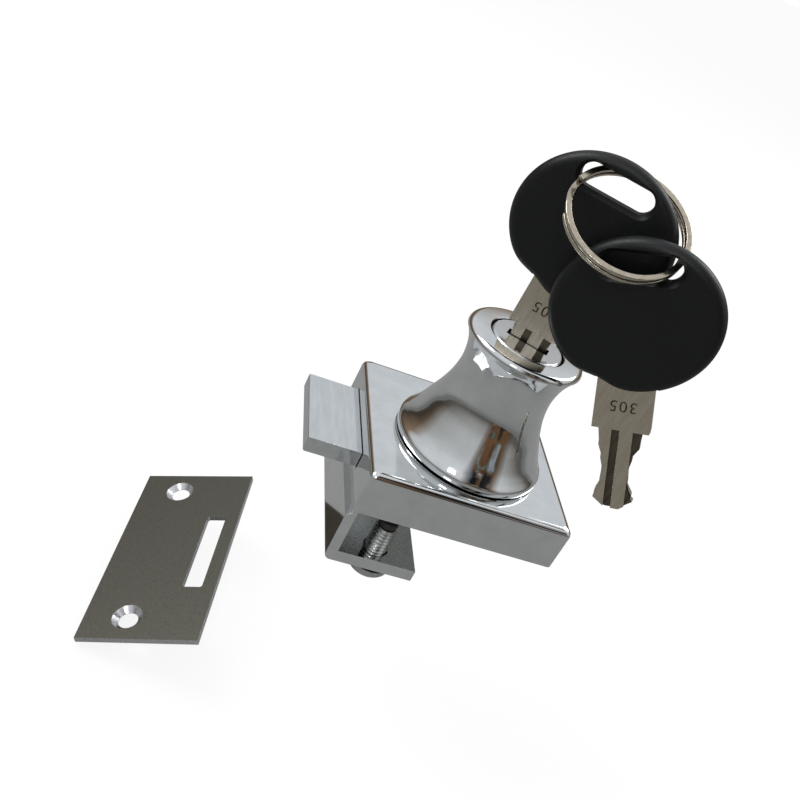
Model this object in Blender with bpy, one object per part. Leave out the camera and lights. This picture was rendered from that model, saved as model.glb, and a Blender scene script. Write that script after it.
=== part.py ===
"""Glass door lock: clamp housing with a thrown bolt, hourglass knob with a wafer cylinder, two keys on a
split ring, and a strike plate.

Metres. The origin is where the knob's axis meets the pane's front face, which the housing's back lies on.
+Z points out of the pane along the knob, and the bolt points to -X.
"""

import math

import bmesh
import bpy
from mathutils import Matrix, Vector

# Clearances
GAP = 0.0003
SLIDE_GAP = 0.0004
PIN_PLAY = 0.0005

# Housing, one zinc casting: box, web and clamp leg
BOX_LEFT = -0.0204
BOX_RIGHT = 0.0196
BOX_WIDTH = 0.0382
BOX_MIDDLE = 0.0016
BOX_DEPTH = 0.0090
EDGE_ROUND = 0.0014
RIM = 0.0018
FRONT_WALL = 0.0016
WEB_STEP = 0.0010
WEB_THICK = 0.0020
GLASS_SPACE = 0.0096
LEG_THICK = 0.0024
LEG_END = -0.0040
LEG_CORNER = 0.0012

# Knob, turned about the origin's Z
KNOB_HEIGHT = 0.0251
KNOB_FOOT_R = 0.0148
KNOB_NECK_R = 0.0092
KNOB_TOP_R = 0.0114
KNOB_FOOT = 0.0017
NECK_SHARE = 0.62
TOP_ROUND = 0.0011
KNOB_STEPS = 48

# Cylinder plug and wafers
PLUG_R = 0.0070
PLUG_SEAT = 0.0045
KEYWAY_TURN = math.radians(-26.0)
TAIL_R = 0.0040
TAIL_NECK = 0.0008
TAIL_SQUARE = 0.0048
CLIP_THICK = 0.0008
CLIP_R = 0.0060
WAFERS = 5
WAFER_PITCH = 0.0025
WAFER_FIRST = 0.0030
WAFER_THICK = 0.0010
WAFER_WIDE = 0.0050
EAR_LENGTH = 0.0014
EAR_WIDE = 0.0010
POCKET_LENGTH = 0.0060
SPRING_R = 0.0005
SPRING_WIRE = 0.00015
SPRING_TURNS = 4
GROOVE_REACH = 0.0009

# Bolt and cam
BOLT_NEAR_WALL = 0.0102
BOLT_FAR_WALL = 0.0070
BOLT_THICK = 0.0032
BOLT_BACK = 0.0022
BOLT_THROW = 0.0105
BOLT_TAIL = 0.0004
BOLT_EDGE = 0.0003
CAM_THICK = 0.0013
CAM_PIN_R = 0.0014
CAM_PIN_ORBIT = BOLT_THROW / math.sqrt(2.0)
CAM_LOBE = 0.0006

# Back cover and screws
COVER_THICK = 0.0013
COVER_SCREW_R = 0.0008
COVER_SCREW_HEAD_R = 0.0016
COVER_SCREW_SINK = 0.0008
COVER_SCREW_LENGTH = 0.0042
COVER_SCREW_INSET = 0.0026
CROSS_REACH = 0.0010
CROSS_HALF = 0.0002
CROSS_DEEP = 0.0005
KNOB_SCREW_ORBIT = 0.0114
KNOB_SCREW_R = 0.0010
KNOB_SCREW_HEAD_R = 0.0019
KNOB_SCREW_HEAD = 0.0011
KNOB_SCREW_REACH = 0.0029

# Clamp screws
CLAMP_X = -0.0118
CLAMP_INSET = 0.0041
CLAMP_SHANK_R = 0.0022
CLAMP_TIP = 0.0070
CLAMP_PAD = 0.0012
CLAMP_HEAD_R = 0.0043
CLAMP_HEAD = 0.0029
CLAMP_EDGE = 0.0006
CLAMP_CROSS_REACH = 0.0020
CLAMP_CROSS_HALF = 0.0005
CLAMP_CROSS_DEEP = 0.0014

# Keys
HEAD_WIDTH = 0.0288
HEAD_HEIGHT = 0.0264
HEAD_THICK = 0.0038
HEAD_ROUND = 0.0011
SLOT_END_WALL = 0.0078
SLOT_WIDTH = 0.0042
SLOT_RISE = 0.0086
SLOT_FLARE = 0.0009
FLARE_SLOPE = 0.8
BLADE_THICK = 0.0020
TANG_WIDE = 0.0100
BIT_WIDE = 0.0075
BIT_LENGTH = 0.0152
SHOULDER_DROP = 0.0204
TANG_TOP = 0.0036
TIP_TAPER = 0.0017
SHOULDER_HOOK = 0.0006
CUT_FLAT = 0.0009
CUTS_LEFT = (0.0003, 0.0009, 0.0013, 0.0012, 0.0005)
CUTS_RIGHT = (0.0002, 0.0012, 0.0016, 0.0015, 0.0006)
GROOVE_WIDE = 0.0013
GROOVE_DEEP = 0.0006
FRONT_GROOVE = -0.0008
BACK_GROOVE = 0.0012
LEDGE_WIDE = 0.0016

# How far the first key stands out of its home, and where the second key hangs: how much of the first
# head it covers, and its middle's height and distance from the plug's face and keyway
KEY_1_OUT = 0.0024
KEY_2_LEAN = math.radians(24.0)
KEY_2_COVER = 0.0156
KEY_2_ABOVE = 0.0162
KEY_2_AHEAD = 0.0065

# Split ring, whose centre is placed from the first head's right edge and middle
RING_R = 0.0105
RING_WIRE = 0.0011
RING_STRIP = 0.0008
RING_PITCH = 0.0010
RING_CROSSING = 0.25
RING_END = 0.35
RING_STEPS = 72
RING_INSIDE = 0.01002
RING_ABOVE = 0.00528
RING_AHEAD = 0.00424
RING_NORMAL = (-0.142, -0.512, 0.847)

# Strike plate, which lies beside the loose lock
STRIKE_WIDTH = 0.0250
STRIKE_LENGTH = 0.0500
STRIKE_THICK = 0.0012
STRIKE_SLOT_WIDTH = 0.0042
STRIKE_SLOT_CORNER = 0.0005
STRIKE_SLOT_SIDE = 0.0200
STRIKE_HOLE_SIDE = 0.0090
STRIKE_HOLE_END = 0.0057
STRIKE_HOLE_R = 0.0020
STRIKE_SINK_R = 0.0031
STRIKE_CORNER = (-0.0577, -0.0126, -0.0530)
STRIKE_TILT = math.radians(-27.6)
STRIKE_TURN = math.radians(-9.0)

SLOT_LENGTH = HEAD_WIDTH - 2 * SLOT_END_WALL
KEY_1_ABOVE = SHOULDER_DROP + KEY_1_OUT
KEY_2_ALONG = HEAD_WIDTH - KEY_2_COVER
FRONT_Z = BOX_DEPTH
TOP_Z = FRONT_Z + KNOB_HEIGHT
CEILING = FRONT_Z - FRONT_WALL
BOX_NEAR = BOX_MIDDLE - BOX_WIDTH / 2
BOX_FAR = BOX_MIDDLE + BOX_WIDTH / 2
WEB_OUTER = BOX_LEFT - WEB_STEP
WEB_INNER = WEB_OUTER + WEB_THICK
LEG_BACK = -GLASS_SPACE - LEG_THICK
BOLT_FRONT = BOLT_BACK + BOLT_THICK
BOLT_NEAR = BOX_NEAR + BOLT_NEAR_WALL
BOLT_FAR = BOX_FAR - BOLT_FAR_WALL
BOLT_TIP = BOX_LEFT - BOLT_THROW
PLUG_FOOT = FRONT_Z + PLUG_SEAT
CAM_TOP = CEILING - GAP
CAM_BOTTOM = CAM_TOP - CAM_THICK
POCKET_TOP = COVER_THICK + GAP
CLAMP_SIDES = (BOX_NEAR + CLAMP_INSET, BOX_FAR - CLAMP_INSET)
KNOB_SCREW_SIDES = (-KNOB_SCREW_ORBIT, KNOB_SCREW_ORBIT)
KEYWAY_FRAME = Matrix.Rotation(KEYWAY_TURN, 4, "Z")


def make_material(name, colour, roughness, metallic):
    """A plain metal or plastic of a hex sRGB colour."""
    channels = []
    for start in (0, 2, 4):
        value = int(colour[start : start + 2], 16) / 255
        channels.append(value / 12.92 if value <= 0.04045 else ((value + 0.055) / 1.055) ** 2.4)
    material = bpy.data.materials.new(name)
    material.use_nodes = True
    shader = material.node_tree.nodes["Principled BSDF"]
    shader.inputs["Base Color"].default_value = (*channels, 1.0)
    shader.inputs["Roughness"].default_value = roughness
    shader.inputs["Metallic"].default_value = metallic
    return material


def add_object(name, bm, material=None, place=None, smooth=None):
    """Makes a mesh object of a bmesh, moved into place, with its faces outward."""
    bmesh.ops.remove_doubles(bm, verts=bm.verts, dist=1e-7)
    if place is not None:
        bmesh.ops.transform(bm, matrix=place, verts=bm.verts)
    bmesh.ops.recalc_face_normals(bm, faces=bm.faces)
    if bm.calc_volume(signed=True) < 0:
        bmesh.ops.reverse_faces(bm, faces=bm.faces)
    mesh = bpy.data.meshes.new(name)
    bm.to_mesh(mesh)
    bm.free()
    if smooth is not None:
        mesh.shade_smooth()
        mesh.set_sharp_from_angle(angle=math.radians(smooth))
    obj = bpy.data.objects.new(name, mesh)
    bpy.context.scene.collection.objects.link(obj)
    if material is not None:
        mesh.materials.append(material)
    return obj


def combine(target, operation, name, bm, place=None):
    """Adds one Boolean to a target, with a cutter or a joined piece that doesn't render."""
    helper = add_object(name, bm, place=place)
    helper.hide_render = True
    helper.display_type = "WIRE"
    modifier = target.modifiers.new(name, "BOOLEAN")
    modifier.operation = operation
    modifier.object = helper


def cut(target, name, bm, place=None):
    combine(target, "DIFFERENCE", name, bm, place)


def join(target, name, bm, place=None):
    combine(target, "UNION", name, bm, place)


def add_axis(name, location=(0, 0, 0), parent=None):
    """An empty on a joint's axis, which carries the pieces that move."""
    empty = bpy.data.objects.new(name, None)
    bpy.context.scene.collection.objects.link(empty)
    empty.location = location
    if parent is not None:
        attach(empty, parent)
    return empty


def attach(child, parent):
    """Parents a child where it is."""
    bpy.context.view_layer.update()
    child.parent = parent
    child.matrix_parent_inverse = parent.matrix_world.inverted()


def block(x, y, z):
    """A box from three pairs of limits."""
    bm = bmesh.new()
    bmesh.ops.create_cube(bm, size=1.0)
    bmesh.ops.scale(bm, vec=(x[1] - x[0], y[1] - y[0], z[1] - z[0]), verts=bm.verts)
    bmesh.ops.translate(
        bm, vec=((x[0] + x[1]) / 2, (y[0] + y[1]) / 2, (z[0] + z[1]) / 2), verts=bm.verts
    )
    return bm


def prism(outline, low, high, axis="Z"):
    """Extrudes an outline along Z, or along Y with the outline in X and Z."""
    if axis == "Z":
        return loft([[(a, b, level) for a, b in outline] for level in (low, high)])
    return loft([[(a, level, b) for a, b in outline] for level in (low, high)])


def loft(loops, closed=False):
    """Joins loops of as many points each into one skin, with a face over each end unless it closes."""
    bm = bmesh.new()
    rings = [[bm.verts.new(point) for point in loop] for loop in loops]
    pairs = list(zip(rings, rings[1:]))
    if closed:
        pairs.append((rings[-1], rings[0]))
    else:
        bm.faces.new(rings[0][::-1])
        bm.faces.new(rings[-1])
    count = len(rings[0])
    for first, second in pairs:
        for j in range(count):
            n = (j + 1) % count
            bm.faces.new((first[j], first[n], second[n], second[j]))
    return bm


def turned(profile, steps=48, closed=False):
    """Spins (radius, height) points about Z. An open profile starts and ends on the axis."""
    bm = bmesh.new()
    rings = []
    for radius, height in profile:
        if radius < 1e-9:
            rings.append([bm.verts.new((0, 0, height))])
            continue
        angles = [math.tau * k / steps for k in range(steps)]
        rings.append([bm.verts.new((radius * math.cos(a), radius * math.sin(a), height)) for a in angles])
    pairs = list(zip(rings, rings[1:]))
    if closed:
        pairs.append((rings[-1], rings[0]))
    for first, second in pairs:
        for k in range(steps):
            n = (k + 1) % steps
            if len(first) == 1 and len(second) == 1:
                continue
            if len(first) == 1:
                bm.faces.new((first[0], second[k], second[n]))
            elif len(second) == 1:
                bm.faces.new((first[k], first[n], second[0]))
            else:
                bm.faces.new((first[k], first[n], second[n], second[k]))
    return bm


def rod(radius, low, high, steps=32):
    return turned([(0, low), (radius, low), (radius, high), (0, high)], steps)


def arc(centre, radius, start, end, steps):
    """Points on an arc, from one angle to another in degrees."""
    angles = [math.radians(start + (end - start) * i / steps) for i in range(steps + 1)]
    return [(centre[0] + radius * math.cos(a), centre[1] + radius * math.sin(a)) for a in angles]


def rounded_slot(x, y, corner, steps=4):
    """A rectangle outline with round corners, from two pairs of limits."""
    points = []
    for far_x, far_y, start in ((1, 1, 0), (0, 1, 90), (0, 0, 180), (1, 0, 270)):
        centre = (x[far_x] + corner * (1 - 2 * far_x), y[far_y] + corner * (1 - 2 * far_y))
        points += arc(centre, corner, start, start + 90, steps)
    return points


def round_edges(bm, width, chosen, segments):
    edges = [edge for edge in bm.edges if chosen(edge)]
    bmesh.ops.bevel(bm, geom=edges, offset=width, segments=segments, affect="EDGES", profile=0.5)


def at(x, y, z=0.0):
    return Matrix.Translation((x, y, z))


def cross_cut(target, name, x, y, reach, half, low, high):
    """Cuts a cross recess with two blocks."""
    cut(target, name + "_a", block((x - reach, x + reach), (y - half, y + half), (low, high)))
    cut(target, name + "_b", block((x - half, x + half), (y - reach, y + reach), (low, high)))


# Housing and cover


def cover_screw_places():
    reach_x = (BOX_LEFT + RIM + COVER_SCREW_INSET, BOX_RIGHT - RIM - COVER_SCREW_INSET)
    reach_y = (BOX_NEAR + RIM + COVER_SCREW_INSET, BOX_FAR - RIM - COVER_SCREW_INSET)
    return [(x, y) for x in reach_x for y in reach_y]


def make_housing(material):
    outline = [(BOX_LEFT, FRONT_Z), (BOX_LEFT, -GAP), (WEB_OUTER, -GAP - WEB_STEP)]
    outline += arc((WEB_OUTER + LEG_CORNER, LEG_BACK + LEG_CORNER), LEG_CORNER, 180, 270, 4)
    outline += [(LEG_END, LEG_BACK), (LEG_END, -GLASS_SPACE), (WEB_INNER, -GLASS_SPACE)]
    outline += [(WEB_INNER, 0), (BOX_RIGHT, 0), (BOX_RIGHT, FRONT_Z)]
    bm = prism(outline, BOX_NEAR, BOX_FAR, axis="Y")
    bmesh.ops.recalc_face_normals(bm, faces=bm.faces)
    round_edges(bm, EDGE_ROUND, lambda e: all(v.co.z > FRONT_Z - 1e-6 for v in e.verts), 3)
    housing = add_object("housing", bm, material, smooth=30)

    below = -COVER_THICK
    pocket_x = (BOX_LEFT + RIM, BOX_RIGHT - RIM)
    pocket_y = (BOX_NEAR + RIM, BOX_FAR - RIM)
    cut(housing, "cut_cover_pocket", block(pocket_x, pocket_y, (below, POCKET_TOP)))
    channel_end = BOLT_TAIL + BOLT_THROW + SLIDE_GAP
    channel_y = (BOLT_NEAR - SLIDE_GAP, BOLT_FAR + SLIDE_GAP)
    channel_z = (BOLT_BACK - GAP, BOLT_FRONT + GAP)
    cut(housing, "cut_bolt_channel", block((BOX_LEFT - RIM, channel_end), channel_y, channel_z))
    inside = (pocket_x[0] + RIM, channel_end)
    cut(housing, "cut_channel_back", block(inside, channel_y, (POCKET_TOP - GAP, BOLT_BACK)))
    cam_room = CAM_PIN_ORBIT + CAM_PIN_R + CAM_LOBE + GAP
    cut(housing, "cut_cam_room", rod(cam_room, POCKET_TOP - GAP, CEILING, 40))
    tail_hole = rod(TAIL_R + GAP, CEILING - FRONT_WALL / 2, FRONT_Z + FRONT_WALL)
    cut(housing, "cut_tail_hole", tail_hole)
    for index, x in enumerate(KNOB_SCREW_SIDES, start=1):
        hole = turned(
            [
                (0, FRONT_Z + FRONT_WALL),
                (KNOB_SCREW_R + GAP, FRONT_Z + FRONT_WALL),
                (KNOB_SCREW_R + GAP, CEILING + GAP),
                (KNOB_SCREW_HEAD_R + GAP, CEILING + GAP),
                (KNOB_SCREW_HEAD_R + GAP, POCKET_TOP - GAP),
                (0, POCKET_TOP - GAP),
            ],
            24,
        )
        cut(housing, f"cut_knob_screw_{index}", hole, at(x, 0))
    for index, (x, y) in enumerate(cover_screw_places(), start=1):
        hole = rod(COVER_SCREW_R + GAP, 0, COVER_SCREW_LENGTH + 2 * GAP, 16)
        cut(housing, f"cut_cover_screw_{index}", hole, at(x, y))
    for index, y in enumerate(CLAMP_SIDES, start=1):
        hole = rod(CLAMP_SHANK_R + GAP, LEG_BACK - LEG_THICK, -GLASS_SPACE + LEG_THICK, 28)
        cut(housing, f"cut_clamp_hole_{index}", hole, at(CLAMP_X, y))


def make_back_cover(material):
    cover_x = (BOX_LEFT + RIM + GAP, BOX_RIGHT - RIM - GAP)
    cover_y = (BOX_NEAR + RIM + GAP, BOX_FAR - RIM - GAP)
    cover = add_object("back_cover", block(cover_x, cover_y, (0, COVER_THICK)), material)
    for index, (x, y) in enumerate(cover_screw_places(), start=1):
        sink = turned(
            [
                (0, 2 * COVER_THICK),
                (COVER_SCREW_R + GAP, 2 * COVER_THICK),
                (COVER_SCREW_R + GAP, COVER_SCREW_SINK),
                (COVER_SCREW_HEAD_R + GAP, 0),
                (COVER_SCREW_HEAD_R + GAP, -COVER_THICK),
                (0, -COVER_THICK),
            ],
            20,
        )
        cut(cover, f"cut_cover_sink_{index}", sink, at(x, y))


def make_cover_screws(material):
    for index, (x, y) in enumerate(cover_screw_places(), start=1):
        profile = [
            (0, COVER_SCREW_LENGTH),
            (COVER_SCREW_R, COVER_SCREW_LENGTH - COVER_SCREW_R / 2),
            (COVER_SCREW_R, COVER_SCREW_SINK),
            (COVER_SCREW_HEAD_R, 0.0),
            (0, 0.0),
        ]
        screw = add_object(f"cover_screw_{index}", turned(profile, 20), material, at(x, y), 40)
        name = f"cut_cover_cross_{index}"
        cross_cut(screw, name, x, y, CROSS_REACH, CROSS_HALF, -COVER_THICK, CROSS_DEEP)


# Knob and cylinder


def knob_side():
    """Radius and height of the knob's side, an hourglass from the foot to the rim."""
    foot = KNOB_FOOT_R - TOP_ROUND / 4
    neck = KNOB_FOOT + NECK_SHARE * (KNOB_HEIGHT - KNOB_FOOT)
    rim = KNOB_HEIGHT - TOP_ROUND
    points = [(foot, GAP), (KNOB_FOOT_R, 2 * GAP), (KNOB_FOOT_R, KNOB_FOOT - GAP), (foot, KNOB_FOOT)]
    for i in range(1, 13):
        share = i / 12
        fall = (1 - math.cos(math.pi * share**0.72)) / 2
        points.append((foot - (foot - KNOB_NECK_R) * fall, KNOB_FOOT + share * (neck - KNOB_FOOT)))
    for i in range(1, 8):
        share = i / 7
        rise = 1 - math.cos(math.pi / 2 * share)
        points.append((KNOB_NECK_R + (KNOB_TOP_R - KNOB_NECK_R) * rise, neck + share * (rim - neck)))
    points += arc((KNOB_TOP_R - TOP_ROUND, rim), TOP_ROUND, 0, 90, 4)[1:]
    return [(radius, FRONT_Z + height) for radius, height in points]


def wafer_height(index):
    """The middle of a wafer, counted down from the plug's face."""
    return TOP_Z - WAFER_FIRST - index * WAFER_PITCH


def clip_room():
    """The height under the knob's bore floor that the clip takes."""
    return FRONT_Z + GAP + CLIP_THICK + 2 * GAP


def make_knob(material):
    bore = PLUG_R + GAP
    foot = FRONT_Z + GAP
    shelf = PLUG_FOOT - GAP
    inside = [(bore, TOP_Z), (bore, shelf), (TAIL_R + GAP, shelf), (TAIL_R + GAP, clip_room())]
    inside += [(CLIP_R + GAP, clip_room()), (CLIP_R + GAP, foot)]
    knob = add_object("knob", turned(knob_side() + inside, KNOB_STEPS, closed=True), material, smooth=35)
    reach = PLUG_R + GROOVE_REACH
    half = WAFER_WIDE / 2 + GAP
    low = wafer_height(WAFERS - 1) - WAFER_THICK
    high = wafer_height(0) + WAFER_THICK
    cut(knob, "cut_wafer_groove", block((-reach, reach), (-half, half), (low, high)), KEYWAY_FRAME)
    for index, x in enumerate(KNOB_SCREW_SIDES, start=1):
        hole = rod(KNOB_SCREW_R + GAP, CEILING, FRONT_Z + KNOB_SCREW_REACH + 2 * GAP, 16)
        cut(knob, f"cut_knob_hole_{index}", hole, at(x, 0))


def make_knob_screws(material):
    edge = KNOB_SCREW_HEAD / 4
    for index, x in enumerate(KNOB_SCREW_SIDES, start=1):
        profile = [
            (0, FRONT_Z + KNOB_SCREW_REACH),
            (KNOB_SCREW_R, FRONT_Z + KNOB_SCREW_REACH - KNOB_SCREW_R / 2),
            (KNOB_SCREW_R, CEILING),
            (KNOB_SCREW_HEAD_R, CEILING),
            (KNOB_SCREW_HEAD_R, CEILING - KNOB_SCREW_HEAD + edge),
            (KNOB_SCREW_HEAD_R - edge, CEILING - KNOB_SCREW_HEAD),
            (0, CEILING - KNOB_SCREW_HEAD),
        ]
        add_object(f"knob_screw_{index}", turned(profile, 20), material, at(x, 0), 40)


def spring_side(index):
    """Wafers work in turn from either edge of the key."""
    return 1 if index % 2 == 0 else -1


def pocket_limits(index):
    """The spring pocket along X: it holds the ear at one end and the spring's foot at the other."""
    side = spring_side(index)
    near = side * (2 * EAR_WIDE + GAP)
    return sorted((near, near - side * POCKET_LENGTH))


def make_plug(material, parent):
    """The plug, with its keyway, wafer slots, spring pockets, clip neck and square tail."""
    edge = GAP
    clip_low = FRONT_Z + GAP + GAP
    clip_high = clip_low + CLIP_THICK
    profile = [
        (0, TOP_Z),
        (PLUG_R - edge, TOP_Z),
        (PLUG_R, TOP_Z - edge),
        (PLUG_R, PLUG_FOOT),
        (TAIL_R, PLUG_FOOT),
        (TAIL_R, clip_high + GAP / 2),
        (TAIL_R - TAIL_NECK, clip_high + GAP / 2),
        (TAIL_R - TAIL_NECK, clip_low - GAP / 2),
        (TAIL_R, clip_low - GAP / 2),
        (TAIL_R, CAM_TOP + GAP),
        (0, CAM_TOP + GAP),
    ]
    plug = add_object("plug", turned(profile, KNOB_STEPS), material, KEYWAY_FRAME, 35)
    half = TAIL_SQUARE / 2
    square = block((-half, half), (-half, half), (CAM_BOTTOM, CAM_TOP + 2 * GAP))
    join(plug, "join_tail_square", square, KEYWAY_FRAME)
    half = BLADE_THICK / 2 + GAP
    wide = BIT_WIDE / 2 + GAP
    keyway = block((-wide, wide), (-half, half), (TOP_Z - BIT_LENGTH - GAP, TOP_Z + KEY_1_OUT))
    cut(plug, "cut_keyway", keyway, KEYWAY_FRAME)
    thick = WAFER_THICK / 2 + GAP
    across = (-WAFER_WIDE / 2 - GAP, WAFER_WIDE / 2 + GAP)
    ear_y = (WAFER_WIDE / 2, WAFER_WIDE / 2 + EAR_LENGTH + 2 * GAP)
    for index in range(WAFERS):
        level = (wafer_height(index) - thick, wafer_height(index) + thick)
        slot = block((-2 * PLUG_R, 2 * PLUG_R), across, level)
        cut(plug, f"cut_wafer_slot_{index + 1}", slot, KEYWAY_FRAME)
        pocket = block(pocket_limits(index), ear_y, level)
        cut(plug, f"cut_spring_pocket_{index + 1}", pocket, KEYWAY_FRAME)
    attach(plug, parent)


def make_wafers(material, spring_material, parent):
    """Each wafer is a plate with a window for the key and an ear that its spring pushes."""
    half = WAFER_WIDE / 2
    shell = PLUG_R - GAP
    reach = math.sqrt(shell**2 - half**2)
    tilt = math.degrees(math.atan2(half, reach))
    window = (BIT_WIDE / 2 + GAP, BLADE_THICK / 2 + GAP)
    for index in range(WAFERS):
        side = spring_side(index)
        middle = wafer_height(index)
        ear = [(side * EAR_WIDE, half), (side * EAR_WIDE, half + EAR_LENGTH)]
        ear += [(side * 2 * EAR_WIDE, half + EAR_LENGTH), (side * 2 * EAR_WIDE, half)]
        outline = arc((0, 0), shell, -tilt, tilt, 4)
        outline += ear if side < 0 else ear[::-1]
        outline += arc((0, 0), shell, 180 - tilt, 180 + tilt, 4)
        level = (middle - WAFER_THICK / 2, middle + WAFER_THICK / 2)
        wafer = add_object(f"wafer_{index + 1}", prism(outline, *level), material, KEYWAY_FRAME)
        hole = block((-window[0], window[0]), (-window[1], window[1]), (level[0] - GAP, level[1] + GAP))
        cut(wafer, f"cut_window_{index + 1}", hole, KEYWAY_FRAME)
        attach(wafer, parent)
        pocket = pocket_limits(index)
        start = side * (EAR_WIDE - GAP - SPRING_WIRE)
        end = pocket[0] + GAP + SPRING_WIRE if side > 0 else pocket[1] - GAP - SPRING_WIRE
        centre = half + (EAR_LENGTH + GAP) / 2
        steps = SPRING_TURNS * 7
        points = []
        for k in range(steps + 1):
            angle = math.tau * SPRING_TURNS * k / steps
            x = start + (end - start) * k / steps
            y = centre + SPRING_R * math.cos(angle)
            points.append((x, y, middle + SPRING_R * math.sin(angle)))
        spring = add_wire(f"wafer_spring_{index + 1}", points, SPRING_WIRE, spring_material)
        attach(spring, parent)


def add_wire(name, points, radius, material):
    """A round wire along points in the keyway's frame."""
    rings = []
    places = [Vector(point) for point in points]
    for k, place in enumerate(places):
        along = (places[min(k + 1, len(places) - 1)] - places[max(k - 1, 0)]).normalized()
        side = along.cross(Vector((1, 0, 0))).normalized()
        other = along.cross(side)
        angles = [math.tau * j / 5 for j in range(5)]
        rings.append([place + (side * math.cos(a) + other * math.sin(a)) * radius for a in angles])
    return add_object(name, loft(rings), material, KEYWAY_FRAME, 60)


def make_clip(material, parent):
    """The open retaining ring in the tail's neck, under the knob's bore floor."""
    low = FRONT_Z + 2 * GAP
    inner = TAIL_R - TAIL_NECK + GAP
    outline = arc((0, 0), CLIP_R, 35, 325, 22) + arc((0, 0), inner, 325, 35, 22)
    clip = add_object("plug_clip", prism(outline, low, low + CLIP_THICK), material, KEYWAY_FRAME, 35)
    attach(clip, parent)


def make_cam(material, parent):
    """The cam on the plug's square tail, with the pin that carries the bolt, thrown at rest."""
    hub = TAIL_SQUARE / 2 + 2 * CAM_PIN_R
    lobe = CAM_PIN_R + CAM_LOBE
    rest = 135.0
    pin_x = CAM_PIN_ORBIT * math.cos(math.radians(rest))
    pin_y = CAM_PIN_ORBIT * math.sin(math.radians(rest))
    lean = math.degrees(math.acos((hub - lobe) / CAM_PIN_ORBIT))
    outline = arc((0, 0), hub, rest + lean, rest + 360 - lean, 20)
    outline += arc((pin_x, pin_y), lobe, rest - lean, rest + lean, 12)
    cam = add_object("cam", prism(outline, CAM_BOTTOM, CAM_TOP), material, smooth=35)
    pin = rod(CAM_PIN_R, BOLT_BACK + GAP, CAM_BOTTOM + CAM_THICK / 2, 24)
    join(cam, "join_cam_pin", pin, at(pin_x, pin_y))
    half = TAIL_SQUARE / 2 + GAP
    socket = block((-half, half), (-half, half), (CAM_BOTTOM - CAM_THICK, CAM_TOP + CAM_THICK))
    cut(cam, "cut_cam_square", socket, KEYWAY_FRAME)
    attach(cam, parent)


# Bolt


def make_bolt(material, parent):
    bm = block((BOLT_TIP, BOLT_TAIL), (BOLT_NEAR, BOLT_FAR), (BOLT_BACK, BOLT_FRONT))
    round_edges(bm, BOLT_EDGE, lambda e: all(v.co.x < BOLT_TIP + 1e-6 for v in e.verts), 2)
    bolt = add_object("bolt", bm, material)
    play = CAM_PIN_R + PIN_PLAY
    slot_x = (-BOLT_THROW / 2 - play, -BOLT_THROW / 2 + play)
    slot_y = (BOLT_THROW / 2 - play, CAM_PIN_ORBIT + play)
    slot = rounded_slot(slot_x, slot_y, play * 0.99)
    cut(bolt, "cut_pin_slot", prism(slot, BOLT_BACK - BOLT_THICK, BOLT_FRONT + BOLT_THICK))
    attach(bolt, parent)


# Clamp screws


def make_clamp(index, y, screw_material, pad_material):
    """A screw through the leg, and the soft pad on its tip that presses on the pane."""
    tip = -GLASS_SPACE + CLAMP_TIP
    shank_top = tip - CLAMP_PAD - GAP
    seat = LEG_BACK - GAP
    bottom = seat - CLAMP_HEAD
    dome = []
    for degrees in (0, 18, 36, 54, 70):
        angle = math.radians(degrees)
        drop = (CLAMP_HEAD - CLAMP_EDGE) * math.sin(angle) / math.sin(math.radians(70))
        dome.append((CLAMP_HEAD_R * math.cos(angle), seat - CLAMP_EDGE - drop))
    profile = [
        (0, shank_top),
        (CLAMP_SHANK_R - GAP, shank_top),
        (CLAMP_SHANK_R, shank_top - GAP),
        (CLAMP_SHANK_R, seat),
        (CLAMP_HEAD_R, seat),
        *dome,
        (0, bottom),
    ]
    place = at(CLAMP_X, y)
    screw = add_object(f"clamp_screw_{index}", turned(profile, 30), screw_material, place, 40)
    low, high = bottom - CLAMP_CROSS_DEEP, bottom + CLAMP_CROSS_DEEP
    name = f"cut_clamp_cross_{index}"
    cross_cut(screw, name, CLAMP_X, y, CLAMP_CROSS_REACH, CLAMP_CROSS_HALF, low, high)
    pad_r = CLAMP_SHANK_R - GAP
    pad_profile = [(0, tip), (pad_r - GAP, tip), (pad_r, tip - GAP), (pad_r, tip - CLAMP_PAD)]
    pad_profile += [(0, tip - CLAMP_PAD)]
    pad = add_object(f"clamp_pad_{index}", turned(pad_profile, 28), pad_material, place, 40)
    slide = add_axis(f"clamp_slide_{index}", (CLAMP_X, y, 0))
    attach(pad, slide)
    turn = add_axis(f"clamp_turn_{index}", (CLAMP_X, y, 0), slide)
    attach(screw, turn)


# Keys and ring


def blade_outline():
    """The blade in the key's own frame: the head's middle is the origin and the tip points to -Y."""
    shoulder = -SHOULDER_DROP
    tip = shoulder - BIT_LENGTH
    half = TANG_WIDE / 2
    bit = BIT_WIDE / 2

    def edge(cuts):
        points = []
        for index, depth in enumerate(cuts):
            middle = shoulder - (WAFER_FIRST - GAP) - index * WAFER_PITCH
            points.append((bit - depth, middle + CUT_FLAT / 2))
            points.append((bit - depth, middle - CUT_FLAT / 2))
        points.append((bit - cuts[0], tip + TIP_TAPER))
        points.append((bit / 3, tip))
        return points

    right = [(half - GAP, -TANG_TOP), (half, shoulder + SHOULDER_HOOK)]
    right += [(half - GAP, shoulder - SHOULDER_HOOK / 2), (bit, shoulder)] + edge(CUTS_RIGHT)
    left = [(-half + GAP, -TANG_TOP), (-half, shoulder), (-bit, shoulder)]
    left += [(-x, y) for x, y in edge(CUTS_LEFT)]
    return right + left[::-1]


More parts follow.
